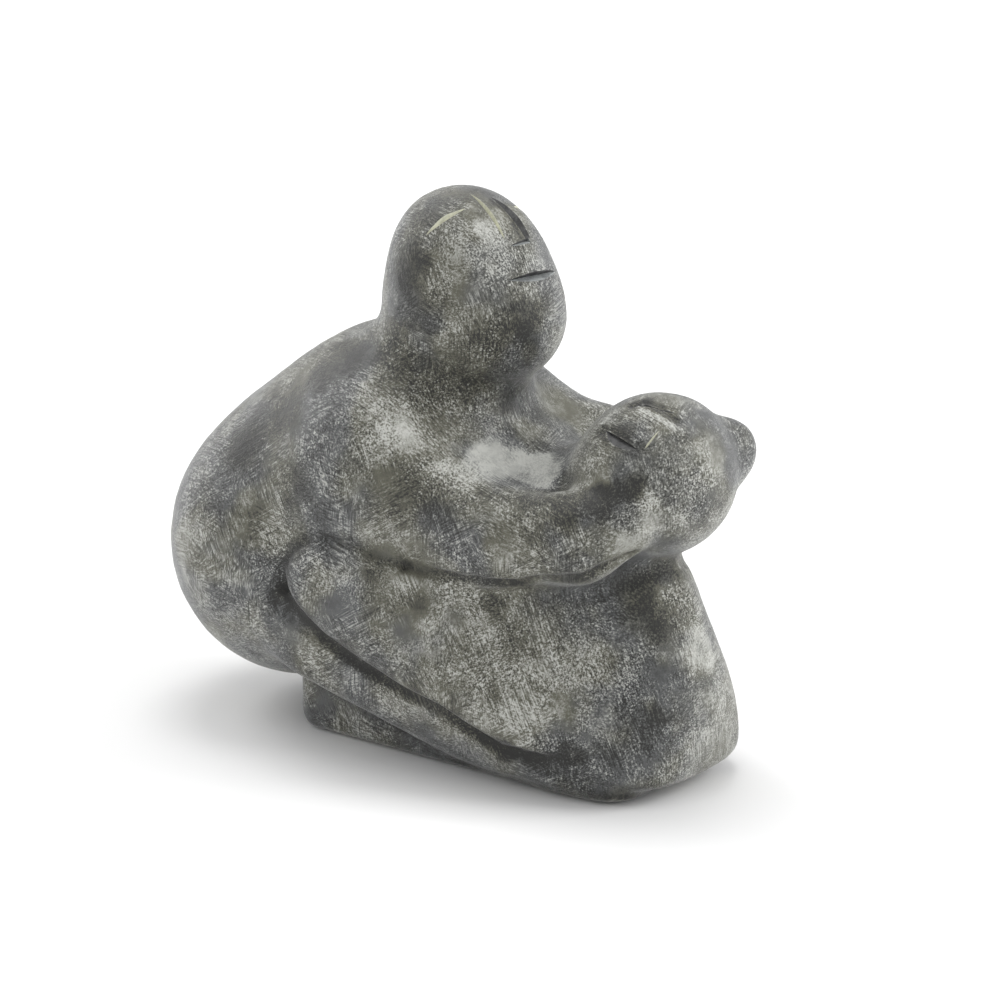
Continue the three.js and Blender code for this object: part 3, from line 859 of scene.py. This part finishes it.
@dataclass
class Chisel:
    """Makes the cuts of a face as wedges and takes them out of the stone."""

    figure: Figure
    marks: FaceMarks
    rise: float = 8.0

    def wedge(self, cut: Cut, name: str) -> bpy.types.Object:
        """Build the wedge of one cut.

        Args:
            cut: The cut's ends, depth and walls.
            name: Name of the new object.

        Returns:
            The wedge, a triangle drawn along its keel.
        """
        core = np.array(self.marks.middle, float)
        start, end = (self.figure.touch(self.marks, way) for way in (cut.start, cut.end))
        start, end = (
            place + (core - place) / np.linalg.norm(core - place) * sink
            for place, sink in zip((start, end), cut.sinks)
        )
        along = (end - start) / np.linalg.norm(end - start)
        out = (start + end) / 2 - core
        out -= along * (out @ along)
        out /= np.linalg.norm(out)
        across = np.cross(out, along)
        left, right = (self.rise * math.tan(math.radians(slope)) for slope in cut.slopes)
        brim = start + out * self.rise
        corners = [start, brim + across * left, brim - across * right]
        bm = bmesh.new()
        verts = [bm.verts.new(self.placed(c)) for c in corners]
        first = bm.faces.new(verts)
        grown = bmesh.ops.extrude_face_region(bm, geom=[first])
        moved = [g for g in grown["geom"] if isinstance(g, bmesh.types.BMVert)]
        bmesh.ops.translate(bm, verts=moved, vec=Vector((end - start) * METRES))
        bmesh.ops.recalc_face_normals(bm, faces=bm.faces)
        for face in bm.faces:
            face.material_index = int(face.normal @ Vector(across) < 0)
        mesh = bpy.data.meshes.new(name)
        bm.to_mesh(mesh)
        bm.free()
        wedge = bpy.data.objects.new(name, mesh)
        bpy.context.scene.collection.objects.link(wedge)
        return wedge

    def placed(self, point: np.ndarray) -> Vector:
        """Give a drawing point in the model's metres."""
        return Vector((point - np.array([0, OUTLINE_MIDDLE, 0])) * METRES)

    def carve(self, piece: bpy.types.Object, looks: dict[Wall, bpy.types.Material]) -> None:
        """Take all the face's cuts out of the piece.

        Args:
            piece: The stone.
            looks: The material of each kind of wall.
        """
        for n, cut in enumerate(self.marks.cuts):
            wedge = self.wedge(cut, f"wedge_{n}")
            for wall in cut.walls:
                wedge.data.materials.append(looks[wall])
            boolean = piece.modifiers.new("cut", "BOOLEAN")
            boolean.operation = "DIFFERENCE"
            boolean.solver = "EXACT"
            boolean.material_mode = "TRANSFER"
            boolean.object = wedge
            graph = bpy.context.evaluated_depsgraph_get()
            carved = bpy.data.meshes.new_from_object(piece.evaluated_get(graph))
            piece.modifiers.clear()
            piece.data = carved
            bpy.data.objects.remove(wedge)


@dataclass(frozen=True)
class StoneFinish:
    """Rubbed grey stone with mottling, grain, fine rasp scratches, painted shade in the hollows and
    patches of stain and painted light.
    """

    name: str = "rubbed_stone"
    dark: Triple = (0.014, 0.014, 0.012)
    blue: Triple = (0.1, 0.104, 0.105)
    olive: Triple = (0.12, 0.118, 0.087)
    pale: Triple = (0.56, 0.565, 0.53)

    def material(self) -> bpy.types.Material:
        """Build the stone's material from nodes."""
        made = Nodes(self.name)
        spot = made.place()
        broad = made.noise(spot, 48, 3, 0.5)
        patchy = made.noise(spot, 125, 6, 0.62)
        crackle = made.noise(spot, 780, 7, 0.8)
        grain = made.noise(spot, 2300, 3, 0.75)
        scratches = made.scratches(spot)
        tone, olive, rubbed = (made.attribute(name) for name in ("tone", "olive", "rubbed"))
        keep = made.span(rubbed, 0, 1, 1, 0.35)
        cracked = made.times(keep, made.span(made.noise(spot, 95, 4, 0.6), 0.42, 0.6, 0.25, 1.2))
        hue = made.math("ADD", made.ramp(broad, 0.42, 0.62), made.times(olive, 1.1))
        colour = made.mix(made.span(hue, 0, 1, 0, 1), self.blue, self.olive)
        light = made.heights(
            (
                (made.centred(broad), 1.2),
                (made.centred(patchy), 2.3),
                (made.times(made.centred(crackle), cracked), 2.2),
                (made.times(made.centred(grain), cracked), 1.5),
                (made.times(scratches, keep), 4.0),
                # The tone carries real stains and also painted highlights and painted shade.
                (tone, 1.0),
                (made.attribute("worn"), 0.15),
                # Painted shade darkens the hollows.
                (made.ramp(made.attribute("painted_hollow_shade"), 0.35, 0.9), -0.6),
            )
        )
        colour = made.mix(made.span(light, 0.05, 1.15, 0, 1), colour, self.pale)
        colour = made.mix(made.span(light, -0.02, -1.0, 0, 1), colour, self.dark)
        dry = made.span(crackle, 0.3, 0.7, 0.52, 0.36)
        rough = made.math("ADD", dry, made.times(rubbed, -0.08))
        height = made.heights(
            (
                (patchy, 0.5),
                (made.times(crackle, keep), 0.9),
                (made.times(grain, keep), 0.5),
                (scratches, 0.8),
            )
        )
        made.shader.inputs["Sheen Weight"].default_value = 0.45
        made.shader.inputs["Sheen Roughness"].default_value = 0.35
        made.finish(colour, rough, height, 0.4, 0.0006)
        return made.material


class Nodes:
    """Builds a material's nodes and their links."""

    def __init__(self, name: str) -> None:
        """Start an empty material of that name."""
        self.material = bpy.data.materials.new(name)
        self.material.use_nodes = True
        self.tree = self.material.node_tree
        self.shader = self.tree.nodes["Principled BSDF"]

    def add(self, kind: str) -> bpy.types.Node:
        """Add a node of a kind."""
        return self.tree.nodes.new(kind)

    def link(self, source: bpy.types.NodeSocket, target: bpy.types.NodeSocket) -> None:
        """Link two sockets."""
        self.tree.links.new(source, target)

    def place(self) -> bpy.types.NodeSocket:
        """Give the object's own coordinates."""
        return self.add("ShaderNodeTexCoord").outputs["Object"]

    def noise(
        self, spot: bpy.types.NodeSocket, scale: float, detail: float, rough: float
    ) -> bpy.types.NodeSocket:
        """Add a noise.

        Args:
            spot: The coordinates.
            scale: How many times it repeats in a metre.
            detail: How many finer layers it has.
            rough: Strength of the finer layers.

        Returns:
            The noise's value.
        """
        node = self.add("ShaderNodeTexNoise")
        node.inputs["Scale"].default_value = scale
        node.inputs["Detail"].default_value = detail
        node.inputs["Roughness"].default_value = rough
        self.link(spot, node.inputs["Vector"])
        return node.outputs["Fac"]

    def ramp(self, value: bpy.types.NodeSocket, low: float, high: float) -> bpy.types.NodeSocket:
        """Turn a value into a soft share that runs from low to high."""
        return self.span(value, low, high, 0, 1, "SMOOTHSTEP")

    def span(
        self,
        value: bpy.types.NodeSocket,
        low: float,
        high: float,
        start: float,
        end: float,
        way: str = "LINEAR",
    ) -> bpy.types.NodeSocket:
        """Map a value from one range to another.

        Args:
            value: The value.
            low: Lower end of its range.
            high: Upper end of its range.
            start: What the lower end becomes.
            end: What the upper end becomes.
            way: How it runs between them.

        Returns:
            The mapped value.
        """
        node = self.add("ShaderNodeMapRange")
        node.interpolation_type = way
        limits = {"From Min": low, "From Max": high, "To Min": start, "To Max": end}
        for socket, number in limits.items():
            node.inputs[socket].default_value = number
        self.link(value, node.inputs["Value"])
        return node.outputs["Result"]

    def mix(
        self,
        share: bpy.types.NodeSocket,
        below: bpy.types.NodeSocket | Triple,
        above: bpy.types.NodeSocket | Triple,
    ) -> bpy.types.NodeSocket:
        """Lay a colour over another by a share.

        Args:
            share: How much of the upper colour shows.
            below: The lower colour.
            above: The upper colour.

        Returns:
            The mixed colour.
        """
        node = self.add("ShaderNodeMix")
        node.data_type = "RGBA"
        self.link(share, node.inputs[0])
        for colour, socket in ((below, node.inputs[6]), (above, node.inputs[7])):
            if isinstance(colour, tuple):
                socket.default_value = (*colour, 1)
            else:
                self.link(colour, socket)
        return node.outputs[2]

    def math(
        self,
        way: str,
        a: bpy.types.NodeSocket | float,
        b: bpy.types.NodeSocket | float,
    ) -> bpy.types.NodeSocket:
        """Reckon with two values.

        Args:
            way: The kind of sum.
            a: The first value.
            b: The second value.

        Returns:
            The outcome.
        """
        node = self.add("ShaderNodeMath")
        node.operation = way
        for value, socket in ((a, node.inputs[0]), (b, node.inputs[1])):
            if isinstance(value, (int, float)):
                socket.default_value = value
            else:
                self.link(value, socket)
        return node.outputs[0]

    def centred(self, value: bpy.types.NodeSocket) -> bpy.types.NodeSocket:
        """Give a noise's value less its middle."""
        return self.math("SUBTRACT", value, 0.5)

    def times(
        self, value: bpy.types.NodeSocket, by: bpy.types.NodeSocket | float
    ) -> bpy.types.NodeSocket:
        """Multiply a value."""
        return self.math("MULTIPLY", value, by)

    def mixed(
        self, a: bpy.types.NodeSocket, b: bpy.types.NodeSocket, share: float
    ) -> bpy.types.NodeSocket:
        """Give a blend of two values."""
        return self.math("ADD", self.times(a, 1 - share), self.times(b, share))

    def attribute(self, name: str) -> bpy.types.NodeSocket:
        """Read an attribute of the mesh."""
        node = self.add("ShaderNodeAttribute")
        node.attribute_name = name
        return node.outputs["Fac"]

    def scratches(self, spot: bpy.types.NodeSocket) -> bpy.types.NodeSocket:
        """Lay fine scratches over the stone, in patches that each run their own way."""
        layers = []
        for n, (rise, turn) in enumerate(SCRATCH_WAYS):
            node = self.add("ShaderNodeMapping")
            node.vector_type = "TEXTURE"
            node.inputs["Rotation"].default_value = (0, math.radians(-rise), math.radians(turn))
            node.inputs["Scale"].default_value = SCRATCH_SIZE
            node.inputs["Location"].default_value = (n * 0.031, n * 0.017, n * 0.023)
            self.link(spot, node.inputs["Vector"])
            lines = self.centred(self.noise(node.outputs[0], 1, 3, 0.7))
            moved = self.add("ShaderNodeVectorMath")
            moved.inputs[1].default_value = (n * 0.37, n * 0.21, n * 0.13)
            self.link(spot, moved.inputs[0])
            where = self.ramp(self.noise(moved.outputs[0], 70, 3, 0.6), 0.47, 0.57)
            layers.append((self.times(lines, where), 1.0))
        return self.heights(tuple(layers))

    def heights(
        self, layers: tuple[tuple[bpy.types.NodeSocket, float], ...]
    ) -> bpy.types.NodeSocket:
        """Add up layers of height by their weights."""
        total = self.times(*layers[0])
        for value, weight in layers[1:]:
            total = self.math("ADD", total, self.times(value, weight))
        return total

    def finish(
        self,
        colour: bpy.types.NodeSocket,
        rough: bpy.types.NodeSocket,
        height: bpy.types.NodeSocket,
        strength: float,
        depth: float,
    ) -> None:
        """Link the colour, roughness and bump to the shader.

        Args:
            colour: The colour.
            rough: The roughness.
            height: The height of the surface.
            strength: Strength of the bump.
            depth: Depth of the bump in metres.
        """
        bump = self.add("ShaderNodeBump")
        bump.inputs["Strength"].default_value = strength
        bump.inputs["Distance"].default_value = depth
        self.link(height, bump.inputs["Height"])
        self.link(bump.outputs["Normal"], self.shader.inputs["Normal"])
        self.link(colour, self.shader.inputs["Base Color"])
        self.link(rough, self.shader.inputs["Roughness"])


@dataclass(frozen=True)
class CutFinish:
    """The colour of a cut's walls: fresh-cut stone, a painted lit bevel, grey stone and near-black
    painted shade.
    """

    name: str
    light: Triple
    shade: Triple

    def material(self) -> bpy.types.Material:
        """Build the material of the cut's walls."""
        made = Nodes(self.name)
        spot = made.place()
        coarse = made.noise(spot, 420, 5, 0.6)
        fine = made.noise(spot, 1800, 4, 0.7)
        share = made.ramp(made.mixed(coarse, fine, 0.4), 0.38, 0.62)
        colour = made.mix(share, self.shade, self.light)
        rough = made.span(fine, 0.3, 0.7, 0.55, 0.75)
        made.finish(colour, rough, made.heights(((coarse, 0.6), (fine, 0.4))), 0.3, 0.0004)
        return made.material


@dataclass
class Studio:
    """The pale floor, the soft lights and the camera at the photograph's angle."""

    sensor: float = 36

    def camera(self) -> None:
        """Place the camera so that the figure fills the frame as in the photograph."""
        right, up, back = SHOT.ways()
        spot = SHOT.spot()
        spot.y -= OUTLINE_MIDDLE
        data = bpy.data.cameras.new("camera")
        data.sensor_width = self.sensor
        data.lens = self.sensor * SHOT.pixels_per_part * SHOT.distance / SHOT.frame_pixels
        data.clip_start, data.clip_end = 0.05, 20
        camera = bpy.data.objects.new("camera", data)
        turn = Matrix((right, up, back)).transposed().to_4x4()
        camera.matrix_world = Matrix.Translation(spot * METRES) @ turn
        bpy.context.scene.collection.objects.link(camera)
        bpy.context.scene.camera = camera

    def floor(self) -> None:
        """Lay a plain white floor."""
        bm = bmesh.new()
        bmesh.ops.create_circle(bm, cap_ends=True, segments=96, radius=6)
        mesh = bpy.data.meshes.new("floor")
        bm.to_mesh(mesh)
        bm.free()
        material = bpy.data.materials.new("paper_white")
        material.use_nodes = True
        shader = material.node_tree.nodes["Principled BSDF"]
        shader.inputs["Base Color"].default_value = (0.93, 0.93, 0.93, 1)
        shader.inputs["Roughness"].default_value = 0.9
        shader.inputs["Specular IOR Level"].default_value = 0.1
        mesh.materials.append(material)
        floor = bpy.data.objects.new("floor", mesh)
        bpy.context.scene.collection.objects.link(floor)

    def lights(self) -> None:
        """Hang soft lights overhead, behind her back and to the picture's right."""
        world = bpy.data.worlds.new("studio")
        world.use_nodes = True
        sky = world.node_tree.nodes["Background"]
        sky.inputs["Color"].default_value = (1, 1, 1, 1)
        sky.inputs["Strength"].default_value = 0.7
        bpy.context.scene.world = world
        self.lamp("over", (0.35, 0.3, 1.9), 0.8, 11)
        self.lamp("behind", (0.1, 1.5, 1.2), 0.9, 12)
        self.lamp("right", (1.0, -1.3, 1.0), 0.9, 17)

    def lamp(self, name: str, spot: Triple, size: float, power: float) -> None:
        """Hang a square lamp that looks at the figure.

        Args:
            name: Name of the lamp.
            spot: Its place in metres.
            size: Length of its side.
            power: Its power in watts.
        """
        data = bpy.data.lights.new(name, "AREA")
        data.size = size
        data.energy = power
        lamp = bpy.data.objects.new(name, data)
        lamp.location = spot
        aim = Vector((0, 0, 0.06)) - Vector(spot)
        lamp.rotation_euler = aim.to_track_quat("-Z", "Y").to_euler()
        bpy.context.scene.collection.objects.link(lamp)

    def film(self) -> None:
        """Show the white floor as white, without a film curve."""
        bpy.context.scene.view_settings.view_transform = "Standard"
        bpy.context.scene.view_settings.look = "None"


def dress(piece: bpy.types.Object) -> None:
    """Smooth the skin and keep the rims of the cuts sharp.

    Args:
        piece: The carved stone.
    """
    bm = bmesh.new()
    bm.from_mesh(piece.data)
    for face in bm.faces:
        face.smooth = face.material_index == 0
    for edge in bm.edges:
        kinds = {face.material_index for face in edge.link_faces}
        edge.smooth = kinds == {0}
    bm.to_mesh(piece.data)
    bm.free()


def main() -> None:
    """Build the carving and the studio."""
    logging.basicConfig(level=logging.INFO, format="%(message)s")
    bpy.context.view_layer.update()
    figure = Figure()
    piece = figure.skin()
    piece.data.materials.append(StoneFinish().material())
    looks = {
        Wall.FRESH_AND_LIT: CutFinish("fresh_and_lit_cut", (0.72, 0.72, 0.58), (0.5, 0.5, 0.4)).material(),
        Wall.GREY: CutFinish("grey_cut", (0.36, 0.38, 0.38), (0.17, 0.18, 0.18)).material(),
        # Near-black walls that paint the shade in the cuts.
        Wall.PAINTED_SHADE: CutFinish("painted_shade_cut", (0.1, 0.1, 0.1), (0.03, 0.03, 0.03)).material(),
    }
    for marks in (MOTHER_FACE, CHILD_FACE):
        Chisel(figure, marks).carve(piece, looks)
        LOG.info("cut %d grooves", len(marks.cuts))
    dress(piece)
    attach(piece, "root")
    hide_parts(NODE)
    LOG.info("%s: %d faces", piece.name, len(piece.data.polygons))
    studio = Studio()
    studio.film()
    studio.floor()
    studio.lights()
    studio.camera()


if __name__ == "__main__":
    main()
